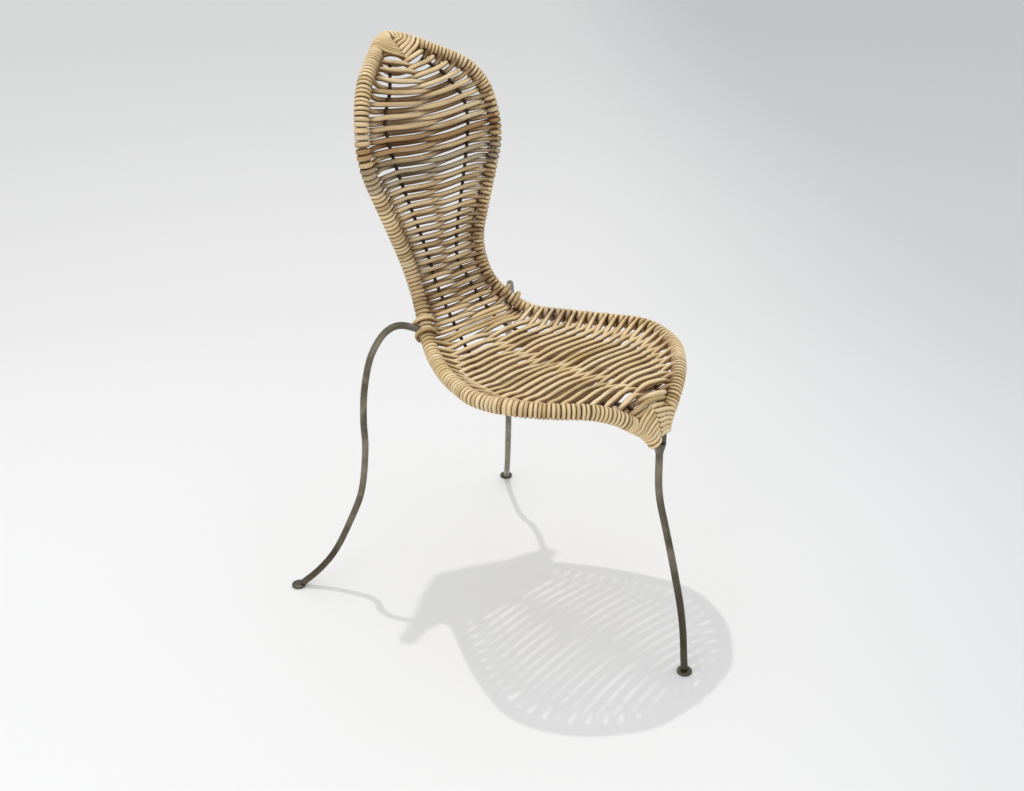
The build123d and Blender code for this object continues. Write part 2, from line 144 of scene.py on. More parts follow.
KNEES = (  # station, half spacing and depth of the places where the seat's rows turn to the rails
    (75, 30, 3), (92, 40, 4), (105, 48, 5), (150, 74, 7), (205, 106, 8), (237, 125, 9), (272, 144, 10),
    (317, 160, 10), (343, 154, 10), (412, 140, 10), (440, 128, 9), (483, 96, 7), (533, 74, 3),
)
KNEE_SLOPE = 14.0  # length inside a knee over which a row leaves its level
KNEE_REACH = 0.7  # most of a row's run from a stake to a knee that this takes up
KNEE_LEVELS = (0.85, 0.15, 0.4)  # share of a row's level inside a knee, at one on the seat, on the back
ROW_BEDDING = 0.2  # by which a row is pressed onto its stakes
CROSSING_SHIFT = 0.18  # most that a cane's change of sides lies off the middle, as a share
BOW_SPREAD = 0.5
THICKENING = 5  # steps of a path in which a cane comes to its thickness between the rails
THICKNESS_WANDER = 0.02  # share by which it comes and goes along a cane
BACK_SQUARENESS = 0.45  # of a row's outer part on the back: 1 is square to the rail
# Station, and share of the run between the stakes in which a cane changes sides
CROSSING_SHARES = ((430, 0.55), (490, 0.85), (560, 0.6), (700, 0.45))
LEVEL_SHADE = (0.62, 0.38)  # painted shade of a row: how light it is at the stakes' level, and the gain above it, so its under level is darker
TURN_SHADE = (0.46, 0.25, 0.2)  # the same painted shade of a turn, with the gain up and outward, and the least
# Painted shade on the rows beside the rails: how strong, and how far from a rail's centre it begins
SEAT_RAIL_SHADE = 0.35
BACK_RAIL_SHADE = 0.65
RAIL_SHADE_REACH = 30.0
PATH_STEP = 3.2
SMOOTHING = 2  # points on each side over which a path is evened out

# Herringbones at the tips: the seam between their halves, and each half's count of canes, first
# place on the seam and pitch there, first station and pitch on the rail, and radius
FRONT_SEAM = (
    (-260, 402), (-258, 418), (-255.5, 429), (-252.5, 438), (-248, 446), (-242, 454), (-231, 463),
    (-219, 468),
)
SEAM_GAP = 0.6  # between the seam and the middle of a cane's end, as a share of its radius
SEAM_TAPER = 0.85
SHORTEST_TURN = 3  # points of its way round, without which such a cane is left out
SEAM_WOUND_RADIUS = 3.6  # most that such a cane has on its way round the rail
SEAM_SLANT = 0.55  # of a cane's slant beside the seam that it keeps on its way round the rail
FRONT_HALVES = {
    "right": (7, 4.0, 7.9, 10.0, 7.6, 3.9),
    "left": (8, 9.5, 7.4, 9.0, 7.2, 3.8),
}
TOP_SEAM = (
    (336, 950), (328, 945), (319.5, 939.5), (312, 933.5), (303.5, 926), (296, 918.5), (289, 911),
)
LEAN_LOSS = 0.2  # from one cane to the next, of the share by which the top's turns lean over
LEAN_SETBACK = 6.0  # by which a turn that leans over fully is moved in from the tip
TOP_HALVES = {
    "right": (7, 2.5, 8.5, 1153.0, -8.2, 4.1),
    "left": (9, 1.5, 6.2, 1153.0, -6.6, 3.4),
}

# Spread of the tones from cane to cane
ROW_TONES = 0.08
COIL_TONES = 0.055
LASHING_TONES = 0.1

# Meshes
RING_STEP = 3.0  # of a rod
ROD_WANDER = 0.015  # share by which a rod's thickness comes and goes
TUBE_SIDES = 10
ROD_SIDES = 24
STAKE_SIDES = 14
LASHING_SIDES = 12
HEAD_SIDES = 32
HEAD_LEVELS = 12
FOOT_SIDES = 48
CAP_ANGLES = [radians(degrees) for degrees in (12, 40, 66)]
CAP_FULLNESS = 0.8
END_BULGE = 0.05
GRAIN_SCALE = 10 * MM
ANY_DIRECTION = (0.31, 0.17, 0.93)
SEED = 7


# Lines

def unit(vector):
    return vector / norm(vector)


def units(vectors):
    return vectors / norm(vectors, axis=1)[:, None]


def round_corners(points, step=1.0):
    """Dense points of straight runs joined by arcs as large as the shorter run allows."""
    points = [np.array(point, float) for point in points]
    out = [points[0]]
    for before, corner, after in zip(points, points[1:], points[2:]):
        cut = BEND_SHARE * min(norm(corner - before), norm(after - corner))
        run_in = unit(corner - before)
        run_out = unit(after - corner)
        turn = acos(np.clip(run_in @ run_out, -1, 1))
        radius = cut / tan(turn / 2)
        side = unit(run_out - run_in * (run_in @ run_out))
        start = corner - run_in * cut
        pieces = max(4, int(radius * turn / step))
        for number in range(pieces + 1):
            angle = turn * number / pieces
            out.append(start + side * radius * (1 - cos(angle)) + run_in * radius * sin(angle))
    out.append(points[-1])
    return np.array(out)


def run_lengths(points):
    """Length along a path at each of its points."""
    steps = norm(np.diff(points, axis=0), axis=1)
    return np.concatenate([[0], np.cumsum(steps)])


def points_at(places, lengths, points):
    """Points of a path at the given lengths along it."""
    return np.stack([np.interp(places, lengths, points[:, i]) for i in range(3)], -1)


class Line:
    """A centre line that is read by its length."""

    def __init__(self, points):
        points = np.array(points, float)
        lengths = run_lengths(points)
        self.length = lengths[-1]
        self.stations = np.arange(0, self.length, 1.0)
        self.points = points_at(self.stations, lengths, points)

    def at(self, station):
        return points_at(station, self.stations, self.points)

    def along(self, station):
        return unit(self.at(station + 2.0) - self.at(station - 2.0))

    def within(self, station):
        """The station, kept where the line's direction can be read."""
        return min(max(station, 3.0), self.length - 4.0)


def smooth_path(points, ties=8):
    """Catmull-Rom curve through a few points."""
    points = np.array(points, float)
    padded = np.vstack([2 * points[0] - points[1], points, 2 * points[-1] - points[-2]])
    out = []
    for i in range(1, len(padded) - 2):
        a, b, c, d = padded[i - 1:i + 3]
        for t in np.linspace(0, 1, ties, endpoint=False):
            out.append(0.5 * (2 * b + (c - a) * t + (2 * a - 5 * b + 4 * c - d) * t ** 2
                              + (3 * b - a - 3 * c + d) * t ** 3))
    out.append(points[-1])
    return np.array(out)


def hermite(start, start_pull, end, end_pull, count):
    """Points of a cubic from start to end, both ends included."""
    t = np.linspace(0, 1, count)[:, None]
    return ((2 * t ** 3 - 3 * t ** 2 + 1) * start + (t ** 3 - 2 * t ** 2 + t) * start_pull
            + (3 * t ** 2 - 2 * t ** 3) * end + (t ** 3 - t ** 2) * end_pull)


def flipped(points):
    """The same points on the other side of the chair."""
    return np.array(points) * (-1, 1, 1)


def profile_normal(tangent):
    """Unit vector square to a rod's side profile: up on the seat, forward on the back."""
    return unit(np.array((0, -tangent[2], tangent[1])))


RAIL = Line(round_corners(RAIL_BENDS))


def rail_frame(station):
    """Centre, tangent, normal and inward direction of the right-hand rail."""
    tangent = RAIL.along(station)
    normal = profile_normal(tangent)
    return RAIL.at(station), tangent, normal, np.cross(normal, tangent)


def under_rail(station, half_spacing, depth):
    """Place at a distance to the right of the middle, and at a depth below the rails' level."""
    centre, _, normal, _ = rail_frame(station)
    return np.array((half_spacing, *(centre - normal * depth)[1:]))


STAKE = Line(smooth_path([under_rail(*place) for place in STAKE_PLACES], 12))


def stake_crossing(station):
    """Where the right-hand stake crosses the plane square to the rail's profile, and its frame."""
    centre, _, normal, _ = rail_frame(station)
    along_profile = np.array((0, normal[2], -normal[1]))
    first, last = STAKE_PLACES[0][0], STAKE_PLACES[-1][0]
    guess = STAKE.length * (station - first) / (last - first)
    near = np.abs(STAKE.stations - guess) < STAKE_SEARCH
    offsets = np.where(near, np.abs((STAKE.points - centre) @ along_profile), np.inf)
    length = STAKE.within(STAKE.stations[np.argmin(offsets)])
    tangent = STAKE.along(length)
    return STAKE.at(length), tangent, profile_normal(tangent)


# Mesh building

def tube_rings(path, radii):
    """Place, direction, radius, length and path point of each ring of a tube with rounded ends."""
    tangents = units(np.gradient(path, axis=0))
    lengths = run_lengths(path)
    last = len(path) - 1
    rings = []
    for angle in CAP_ANGLES:
        reach = CAP_FULLNESS * radii[0] * cos(angle)
        rings.append((path[0] - tangents[0] * reach, tangents[0], radii[0] * sin(angle), 0, 0))
    for i in range(len(path)):
        rings.append((path[i], tangents[i], radii[i], lengths[i], i))
    for angle in reversed(CAP_ANGLES):
        place = path[last] + tangents[last] * CAP_FULLNESS * radii[last] * cos(angle)
        rings.append((place, tangents[last], radii[last] * sin(angle), lengths[last], last))
    return rings


class Tubes:
    """Rounded tubes gathered into one mesh."""

    def __init__(self):
        self.points, self.faces = [], []
        self.grain, self.tones, self.painted_light = [], [], []

    def add(self, path, radii, tone=0.5, sides=TUBE_SIDES, flat=None, squash=1.0, facing=None, worn=1.0):
        """A tube along a path, squashed along flat, with painted shade: pale where it faces facing, darker
        on its sides, and darker still where its share of light is low.
        """
        path = np.array(path, float)
        rings = tube_rings(path, np.broadcast_to(np.array(radii, float), len(path)))
        worn = np.broadcast_to(np.array(worn, float), len(path))
        first = len(self.tones)
        side = unit(np.cross(rings[0][1], ANY_DIRECTION))
        turns = np.arange(sides) * 2 * pi / sides
        for place, tangent, radius, length, index in rings:
            side = unit(side - tangent * (side @ tangent))
            other = np.cross(tangent, side)
            ring = radius * (np.cos(turns)[:, None] * side + np.sin(turns)[:, None] * other)
            if flat is not None:
                ring += (squash - 1) * (ring @ flat[index])[:, None] * flat[index]
            self.points.append(place + ring)
            self.grain += [(number / sides, length * GRAIN_SCALE) for number in range(sides)]
            # Painted shade: each point is lit by how squarely it faces facing, so the sides between canes
            # come out dark.
            if facing is None:
                self.painted_light += [1.0] * sides
            else:
                self.painted_light += list(worn[index] * (ring @ facing[index] / radius) ** 2)
        (start, heading), (end, last_heading) = rings[0][:2], rings[-1][:2]
        self.points.append(np.array([start - heading * END_BULGE, end + last_heading * END_BULGE]))
        self.grain += [(0.5, 0), (0.5, rings[-1][3] * GRAIN_SCALE)]
        self.painted_light += [0.5, 0.5]
        self.tones += [tone] * (len(rings) * sides + 2)
        self.join(first, len(rings), sides)

    def join(self, first, count, sides):
        """Faces between a tube's rings and over its ends, whose tips come after the rings."""
        start_tip = first + count * sides
        last = start_tip - sides
        for low in range(first, last, sides):
            for number in range(sides):
                following = (number + 1) % sides
                self.faces.append((low + number, low + following,
                                   low + sides + following, low + sides + number))
        for number in range(sides):
            following = (number + 1) % sides
            self.faces.append((start_tip, first + following, first + number))
            self.faces.append((start_tip + 1, last + number, last + following))

    def add_rings(self, points, sides):
        """Rings of points with the given number of sides, and then the tips that close them."""
        self.join(len(self.tones), (len(points) - 2) // sides, sides)
        self.points.append(np.array(points, float))
        self.grain += [(0, 0)] * len(points)
        self.tones += [0.5] * len(points)
        self.painted_light += [1.0] * len(points)

    def build(self, name, material, slot, *nodes):
        """The smooth object, riding on the chair's one body in place of its nodes."""
        mesh = bpy.data.meshes.new(name)
        mesh.from_pydata((np.vstack(self.points) * MM).tolist(), [], self.faces)
        mesh.polygons.foreach_set("use_smooth", [True] * len(mesh.polygons))
        mesh.materials.append(material)
        corner_vertices = np.zeros(len(mesh.loops), np.int32)
        mesh.loops.foreach_get("vertex_index", corner_vertices)
        grain = mesh.uv_layers.new(name="grain")
        grain.data.foreach_set("uv", np.array(self.grain)[corner_vertices].ravel().astype(np.float32))
        for attribute, values in (("tone", self.tones), ("painted_light", self.painted_light)):
            layer = mesh.attributes.new(attribute, "FLOAT", "POINT")
            layer.data.foreach_set("value", np.array(values, np.float32))
        piece = bpy.data.objects.new(name, mesh)
        bpy.context.scene.collection.objects.link(piece)
        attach(piece, "root")
        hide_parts(*nodes)


# Materials

def new_material(name):
    """A material, its nodes, its shader and the socket of a place on the chair."""
    material = bpy.data.materials.new(name)
    material.use_nodes = True
    tree = material.node_tree
    coords = add_node(tree, "TexCoord").outputs["Object"]
    return material, tree, tree.nodes["Principled BSDF"], coords


def set_inputs(tree, node, values):
    """Give a node its input values or links by socket name or number."""
    for socket, value in values.items():
        if isinstance(value, bpy.types.NodeSocket):
            tree.links.new(value, node.inputs[socket])
        else:
            node.inputs[socket].default_value = value


def add_node(tree, kind, values=None, **settings):
    """A shader node with its settings and inputs."""
    node = tree.nodes.new("ShaderNode" + kind)
    for name, value in settings.items():
        setattr(node, name, value)
    set_inputs(tree, node, values or {})
    return node


def calculate(tree, operation, *values):
    """Value socket of a sum or product."""
    return add_node(tree, "Math", dict(enumerate(values)), operation=operation).outputs[0]


def mix(tree, share, first, second, blend="MIX"):
    """Colour socket of a mix of two colours."""
    node = add_node(tree, "Mix", {0: share, 6: first, 7: second}, data_type="RGBA", blend_type=blend)
    return node.outputs[2]


def ease(tree, value, low, high, out_low=0.0, out_high=1.0):
    """Value socket mapped smoothly from one range to another."""
    node = add_node(tree, "MapRange", {0: value, 1: low, 2: high, 3: out_low, 4: out_high},
                    interpolation_type="SMOOTHSTEP")
    return node.outputs[0]


def noise(tree, vector, scale, detail=3.0, distortion=0.0):
    node = add_node(tree, "TexNoise", {"Vector": vector, "Scale": scale, "Detail": detail,
                                       "Distortion": distortion})
    return node.outputs[0]


def ramp(tree, value, stops):
    """Colour socket of a ramp with the given places and colours."""
    node = add_node(tree, "ValToRGB", {0: value})
    points = node.color_ramp.elements
    while len(points) < len(stops):
        points.new(0.5)
    for point, (position, colour) in zip(points, stops):
        point.position = position
        point.color = (*colour, 1)
    return node.outputs[0]


def blotch(tree, coords, centre, radius, ragged):
    """Value socket of a soft patch round a point of the chair, with a ragged edge."""
    away = add_node(tree, "VectorMath", {0: coords, 1: Vector(centre) * MM},
                    operation="DISTANCE").outputs["Value"]
    rough = calculate(tree, "MULTIPLY_ADD", ragged, radius * MM * 0.9, away)
    return ease(tree, rough, radius * MM * 1.5, radius * MM * 0.7)


STRAW = (0.81, 0.61, 0.335)
PALE = (0.89, 0.73, 0.46)
# painted shade colour for crevices, under-level canes and canes beside the rails
CREVICE_SHADE = (0.30, 0.21, 0.14)
HONEY = (0.50, 0.35, 0.15)
BROWN = (0.25, 0.15, 0.075)
UMBER = (0.13, 0.08, 0.045)
GREY = (0.42, 0.35, 0.24)
PLUM = (0.27, 0.17, 0.12)
OCHRE = (0.56, 0.40, 0.08)
RUST = (0.36, 0.18, 0.055)
SLATE = (0.16, 0.135, 0.115)

# Stains: place, radius, colour and strength
STAINS = (
    ((43, -51, 470), 24, OCHRE, 0.65),
    ((-11, -69, 468), 20, OCHRE, 0.55),
    ((-168, 46, 490), 24, OCHRE, 0.5),
    ((203, -77, 492), 22, OCHRE, 0.6),
    ((175, -20, 480), 20, OCHRE, 0.4),
    ((140, 75, 475), 40, PLUM, 0.4),
)
# Bands right across the back: lowest and highest height, colour and strength
BANDS = (
    (783, 812, RUST, 0.7),
    (732, 772, SLATE, 0.48),
    (700, 722, BROWN, 0.2),
    (845, 862, BROWN, 0.2),
    (530, 660, BROWN, 0.22),
)


def band(tree, height, low, high, ragged):
    """Value socket of a level band with ragged edges."""
    rough = calculate(tree, "MULTIPLY_ADD", ragged, 24 * MM, height)
    rough = calculate(tree, "SUBTRACT", rough, 12 * MM)
    above = ease(tree, rough, (low - 6) * MM, (low + 6) * MM)
    below = ease(tree, rough, (high + 6) * MM, (high - 6) * MM)
    return calculate(tree, "MULTIPLY", above, below)


def cane_grain(tree, tone):
    """Vector socket that runs along a cane and differs from cane to cane."""
    grain = add_node(tree, "UVMap", uv_map="grain").outputs[0]
    long_grain = add_node(tree, "Mapping", {"Vector": grain, "Scale": (5, 2.2, 1)}).outputs[0]
    shift = calculate(tree, "MULTIPLY", tone, 37.0)
    shifted = add_node(tree, "CombineXYZ", {"Z": shift}).outputs[0]
    return add_node(tree, "VectorMath", {0: long_grain, 1: shifted}, operation="ADD").outputs[0]


def stained(tree, colour, coords, broad, fine):
    """Colour socket with the stains of the seat and the bands of the back."""
    height = add_node(tree, "SeparateXYZ", {0: coords}).outputs[2]
    patches = [(blotch(tree, coords, centre, radius, fine), stain, strength)
               for centre, radius, stain, strength in STAINS]
    patches += [(band(tree, height, low, high, broad), stain, strength)
                for low, high, stain, strength in BANDS]
    for patch, stain, strength in patches:
        colour = mix(tree, calculate(tree, "MULTIPLY", patch, strength), colour, (*stain, 1))
    return colour


def cane_material(name, tone_shift):
    """Peeled cane: colour varies from cane to cane and along each, with streaks, patches and stains."""
    material, tree, shader, coords = new_material(name)
    tone = add_node(tree, "Attribute", attribute_name="tone").outputs["Fac"]
    painted_light = add_node(tree, "Attribute", attribute_name="painted_light").outputs["Fac"]
    grain = cane_grain(tree, tone)
    broad = noise(tree, coords, 14, 4)
    fine = noise(tree, coords, 70, 5)
    streaks = noise(tree, grain, 4.0, 6, 0.4)
    patches = noise(tree, grain, 1.1, 3)
    toned = calculate(tree, "MULTIPLY_ADD", broad, 0.5, tone)
    level = calculate(tree, "ADD", toned, tone_shift - 0.25)
    colour = ramp(tree, level, (
        (0.02, UMBER), (0.16, BROWN), (0.34, HONEY), (0.52, STRAW), (0.72, PALE), (0.95, GREY)))
    for value, low, high, share, tint in ((patches, 0.54, 0.76, 0.5, BROWN),
                                          (streaks, 0.5, 0.74, 0.4, HONEY),
                                          (fine, 0.58, 0.78, 0.4, PLUM)):
        colour = mix(tree, ease(tree, value, low, high, 0, share), colour, (*tint, 1))
    colour = stained(tree, colour, coords, broad, fine)
    # Painted shade: where the per-point painted light is low, the colour is multiplied down towards a dark
    # brown.
    shaded = mix(tree, 1.0, colour, (*CREVICE_SHADE, 1), "MULTIPLY")
    colour = mix(tree, ease(tree, painted_light, 0.0, 0.62), shaded, colour)
    lumps = add_node(tree, "Bump", {"Height": patches, "Strength": 0.5, "Distance": 0.0012})
    fibres = add_node(tree, "Bump", {"Height": streaks, "Strength": 0.5, "Distance": 0.0005,
                                     "Normal": lumps.outputs[0]})
    set_inputs(tree, shader, {
        "Base Color": colour, "Roughness": ease(tree, streaks, 0.3, 0.8, 0.42, 0.68),
        "Specular IOR Level": 0.4, "Normal": fibres.outputs[0]})
    return material


BOTTOM_DARKENING = (0.62, 0.60, 0.58)


def steel_material(name, dark, light, tint):
    """Patinated steel: dull, mottled, with lighter rubbed patches and fine pitting, and darker towards the
    bottom.
    """
    material, tree, shader, coords = new_material(name)
    broad = noise(tree, coords, 16, 5, 0.6)
    fine = noise(tree, coords, 160, 4)
    colour = mix(tree, ease(tree, broad, 0.35, 0.7), (*dark, 1), (*light, 1))
    colour = mix(tree, ease(tree, fine, 0.5, 0.75, 0, 0.6), colour, (*tint, 1))
    # darker towards the bottom of each leg
    height = add_node(tree, "SeparateXYZ", {0: coords}).outputs[2]
    darkened_low = mix(tree, 1.0, colour, (*BOTTOM_DARKENING, 1), "MULTIPLY")
    colour = mix(tree, ease(tree, height, 0.05, 0.35), darkened_low, colour)
    pits = add_node(tree, "Bump", {"Height": fine, "Strength": 0.35, "Distance": 0.0004})
    waves = add_node(tree, "Bump", {"Height": broad, "Strength": 0.5, "Distance": 0.002,
                                    "Normal": pits.outputs[0]})
    set_inputs(tree, shader, {
        "Base Color": colour, "Roughness": ease(tree, fine, 0.3, 0.7, 0.27, 0.46),
        "Metallic": 0.85, "Normal": waves.outputs[0]})
    return material


WOVEN = cane_material("woven_cane", 0.05)
COILED = cane_material("coil_cane", 0.01)
STEEL = steel_material("frame_steel", (0.11, 0.094, 0.068), (0.31, 0.272, 0.205), (0.18, 0.172, 0.13))
# Painted highlight: a lighter copy of the frame steel, standing in for the gleam on the right-hand rear
# leg.
HIGHLIGHT_STEEL = steel_material("painted_highlight_steel", (0.20, 0.18, 0.145), (0.50, 0.455, 0.37), (0.31, 0.30, 0.25))
STAKE_STEEL = steel_material("stake_steel", (0.04, 0.028, 0.02), (0.09, 0.062, 0.045), (0.06, 0.04, 0.028))


# Steel parts

def rod_tube(path, radius, sides=ROD_SIDES):
    """A hand-drawn rod, whose thickness wanders a little."""
    tubes = Tubes()
    wander = np.sin(np.arange(len(path)) * 3.0 / 31.0 + 1.0)
    radii = radius * (1 - ROD_WANDER + ROD_WANDER * wander)
    tubes.add(path, radii, sides=sides)
    return tubes


def rod_pair(path, radius, name, materials, slot, sides=ROD_SIDES):
    """A rod on the right, with the first material, and its mirror image on the left."""
    for side, points, material in zip(("right", "left"), (path, flipped(path)), materials):
        rod_tube(points, radius, sides).build(side + name, material, slot, side + name)


def side_rails():
    stations = np.arange(3.0, RAIL.length - RAIL_TOP_TRIM, RING_STEP)
    rod_pair(RAIL.at(stations), ROD_RADIUS, "_side_rail", (STEEL, STEEL), "frame_steel")


def stakes():
    path = STAKE.at(np.arange(0, STAKE.length, 4.0))
    rod_pair(path, STAKE_RADIUS, "_stake", (STAKE_STEEL, STAKE_STEEL), "stake_steel", STAKE_SIDES)


def rear_leg_path():
    """Centre line of the right-hand rear leg."""
    root = RAIL.at(LEG_STATION)
    out = np.array(REAR_FOOT) - root[:2]
    outward = unit(out)
    places = [(0, root[2]), *REAR_LEG_PLACES, (norm(out), 0)]
    return Line(smooth_path([(*(root[:2] + outward * reach), height) for reach, height in places]))


def above_foot(path):
    """The part of a leg's path that its rings follow."""
    return path[path[:, 2] > FOOT_THICKNESS + LEG_LIFT]


def rear_legs():
    line = rear_leg_path()
    path = above_foot(line.at(np.arange(7.0, line.length, RING_STEP)))
    # the right-hand rear leg takes the lighter steel with its painted highlight
    rod_pair(path, ROD_RADIUS, "_rear_leg", (HIGHLIGHT_STEEL, STEEL), "frame_steel")


def stadium(half_width, half_depth, count):
    """Points round a slot-shaped outline, or round a circle where both halves are the same."""
    points = []
    straight = half_width - half_depth
    for number in range(count):
        angle = 2 * pi * number / count
        shift = straight * np.clip(cos(angle) * 1.6, -1, 1)
        points.append((half_depth * cos(angle) + shift, half_depth * sin(angle)))
    return points


def leg_head():
    """Points of the front leg's head, which is drawn out and flattened to carry both rails."""
    depth = FRONT_LEG_BENDS[0][1]
    bottom = LEG_HEAD_TOP - LEG_HEAD_LENGTH
    points = []
    for share in np.arange(HEAD_LEVELS + 1) / HEAD_LEVELS:
        swell = share * share * (3 - 2 * share)
        half_width, half_depth = (ROD_RADIUS * 1.01 + (half - ROD_RADIUS) * swell
                                  for half in (LEG_HEAD_HALF_WIDTH, LEG_HEAD_HALF_DEPTH))
        height = LEG_HEAD_TOP - LEG_HEAD_LENGTH * (1 - share)
        points += [(x, depth + y, height) for x, y in stadium(half_width, half_depth, HEAD_SIDES)]
    return [*points, (0, depth, bottom), (0, depth, LEG_HEAD_TOP)]


def front_leg():
    line = Line(round_corners(FRONT_LEG_BENDS))
    leg = rod_tube(above_foot(line.at(np.arange(1.0, line.length, RING_STEP))), ROD_RADIUS)
    leg.add_rings(leg_head(), HEAD_SIDES)
    leg.build("front_leg", STEEL, "frame_steel", "front_leg")


def foot(name, x, y):
    """Disc foot with a rolled edge and a slight crown, as cut and filed by hand."""
    angles = [2 * pi * number / FOOT_SIDES for number in range(FOOT_SIDES)]
    points = [(x + FOOT_RADIUS * share * cos(angle), y + FOOT_RADIUS * share * sin(angle), height)
              for share, height in FOOT_OUTLINE for angle in angles]
    disc = Tubes()
    disc.add_rings([*points, (x, y, 0), (x, y, FOOT_THICKNESS)], FOOT_SIDES)
    disc.build(name, STEEL, "frame_steel", name)


def crossbar():
    centre, _, normal, _ = rail_frame(BAR_STATION)
    axis = centre - normal * BAR_DROP
    reach = axis[0] - ROD_RADIUS
    path = [(x, axis[1], axis[2]) for x in np.linspace(-reach, reach, 40)]
    rod_tube(path, ROD_RADIUS).build("waist_crossbar", STEEL, "frame_steel", "waist_crossbar")


# Canes

def row_stations(first, last, pitch):
    """Stations from first to last whose spacing along the side profile is the pitch."""
    stations = []
    station = first
    while station <= last:
        stations.append(station)
        tangent = RAIL.along(station)
        station += pitch / hypot(tangent[1], tangent[2])
    return stations


def weave_zones():
    """Name and row stations of every zone of the weave."""
    tangent = RAIL.along(BAR_STATION)
    margin = BAR_MARGIN / hypot(tangent[1], tangent[2])
    seat = row_stations(FIRST_ROW, BAR_STATION - margin, SEAT_PITCH)
    waist = row_stations(BAR_STATION + margin, WAIST_TOP_STATION, SEAT_PITCH)
    back = row_stations(waist[-1] + SEAT_PITCH, UPPER_BACK_STATION, BACK_PITCH)
    upper = row_stations(back[-1] + UPPER_PITCH, LAST_ROW, UPPER_PITCH)
    return {
        "seat_front": [s for s in seat if s < SEAT_MIDDLE_STATION],
        "seat_middle": [s for s in seat if SEAT_MIDDLE_STATION <= s < SEAT_REAR_STATION],
        "seat_rear": [s for s in seat if s >= SEAT_REAR_STATION],
        "back_waist": waist,
        "back_middle": back,
        "back_upper": upper,
    }


def bar_rows(zones):
    """Stations of the rows that fill the room above the crossbar."""
    low, high = zones["seat_rear"][-1], zones["back_waist"][0]
    pieces = round((high - low) / BAR_ROW_PITCH)
    return [low + (high - low) * n / pieces for n in range(1, pieces)]


ZONES = weave_zones()
BAR_ROWS = bar_rows(ZONES)
ZONES["back_waist"] = BAR_ROWS + ZONES["back_waist"]
ROWS = [station for stations in ZONES.values() for station in stations]


def bow_at(station):
    return np.interp(station, *zip(*ROWS_BOW))


def turn_target(station, reach):
    """Where a row's end meets the rail, which it leaves squarely, and so before or after its middle."""
    target = station
    squarely = np.interp(station, *zip(*reach))
    for _ in range(4):
        tangent = RAIL.along(target)
        target = station - (squarely * tangent[0] + 0.5 * bow_at(station)) / hypot(tangent[1], tangent[2])
    return target


def turn_plan(rows, reach, first, last):
    """Stations of the rows' turns round a rail, and of the turns that fill the room between them."""
    ends = [turn_target(station, reach) for station in rows]
    ends[0] = max(ends[0], first)
    for number in range(1, len(ends)):
        ends[number] = max(ends[number], ends[number - 1] + TURN_ROOM)
    ends[-1] = min(ends[-1], last)
    for number in reversed(range(len(ends) - 1)):
        ends[number] = min(ends[number], ends[number + 1] - TURN_ROOM)
    fillers = []
    for low, high in zip([first - TURN_PITCH, *ends], [*ends, last + TURN_PITCH]):
        pieces = max(1, round((high - low) / TURN_PITCH))
        fillers += [low + (high - low) * n / pieces for n in range(1, pieces)]
    places = np.array(sorted(ends + fillers))
    ending = np.isin(places, ends)
    for _ in range(EVENING):
        places[1:-1] = 0.5 * places[1:-1] + 0.25 * (places[:-2] + places[2:])
    return list(places[ending]), list(places[~ending])


def room_round(station, stations):
    """Half the distance between the neighbours of one turn."""
    near = sorted(abs(np.array(stations) - station))[1:3]
    return float(np.mean(near))


def turn_radius(radius):
    """Radius of the middle of a turn of cane round a rail."""
    return min(ROD_RADIUS + radius, WRAP_RADIUS - radius - WRAP_CLEARANCE)


def round_rail(station, radii, angles, shifts):
    """Points round the right-hand rail at the given radii, angles and shifts along it."""
    centre, tangent, normal, inward = rail_frame(station)
    return centre + radii * (np.cos(angles) * inward + np.sin(angles) * normal) + tangent * shifts


def turn_path(station, radius, start, sweep, drift=0.0, steps=26):
    """Turn of cane round the right-hand rail from an angle, drifting along it."""
    shares = np.arange(steps + 1)[:, None] / steps
    return round_rail(station, turn_radius(radius), start + sweep * shares, drift * shares)


def turn_exit(station, towards, over, radius):
    """Angle on the turn where a cane from a point comes onto the rail over or under it."""
    centre, _, normal, inward = rail_frame(station)
    away = towards - centre
    across, up = away @ inward, away @ normal
    lean = acos(min(1.0, turn_radius(radius) / hypot(across, up)))
    return atan2(up, across) + over * lean


def lean_over(path, station, share):
    """Turn whose far side is moved along the rail, up to the plane that faces the other rail."""
    centre, tangent, _, _ = rail_frame(station)
    back = unit(np.array((0, tangent[1], tangent[2]))) * LEAN_SETBACK * share
    return path - np.outer((path - centre)[:, 0] * share / tangent[0], tangent) - back


def clear_of_middle(path, radius):
    """Start of a turn, up to where it would cross the plane of symmetry."""
    crossing = np.nonzero(path[:, 0] < radius + MIDDLE_CLEARANCE)[0]
    return path if not len(crossing) else path[:crossing[0]]


def even_path(points):
    """Evenly spaced points along a run of straight pieces, its corners eased."""
    points = np.array(points, float)
    lengths = run_lengths(points)
    count = max(6, int(lengths[-1] / PATH_STEP))
    path = points_at(np.linspace(0, lengths[-1], count), lengths, points)
    kernel = np.ones(2 * SMOOTHING + 1) / (2 * SMOOTHING + 1)
    for _ in range(2):
        before = 2 * path[0] - path[SMOOTHING:0:-1]
        after = 2 * path[-1] - path[-2:-2 - SMOOTHING:-1]
        padded = np.vstack([before, path, after])
        path = np.stack([np.convolve(padded[:, i], kernel, "valid") for i in range(3)], 1)
    return path


def row_frame(station):
    """Right-hand stake's place in a row, the row's upward direction and its rearward one."""
    if station > STAKE_END:
        _, tangent, normal, _ = rail_frame(station)
        _, half_spacing, depth = STAKE_PLACES[-1]
        crossing = under_rail(station, half_spacing - STAKE_NARROWING * (station - STAKE_END), depth)
    else:
        crossing, tangent, normal = stake_crossing(station)
    rearward = unit(np.array((0, tangent[1], tangent[2])))
    return crossing, normal, rearward


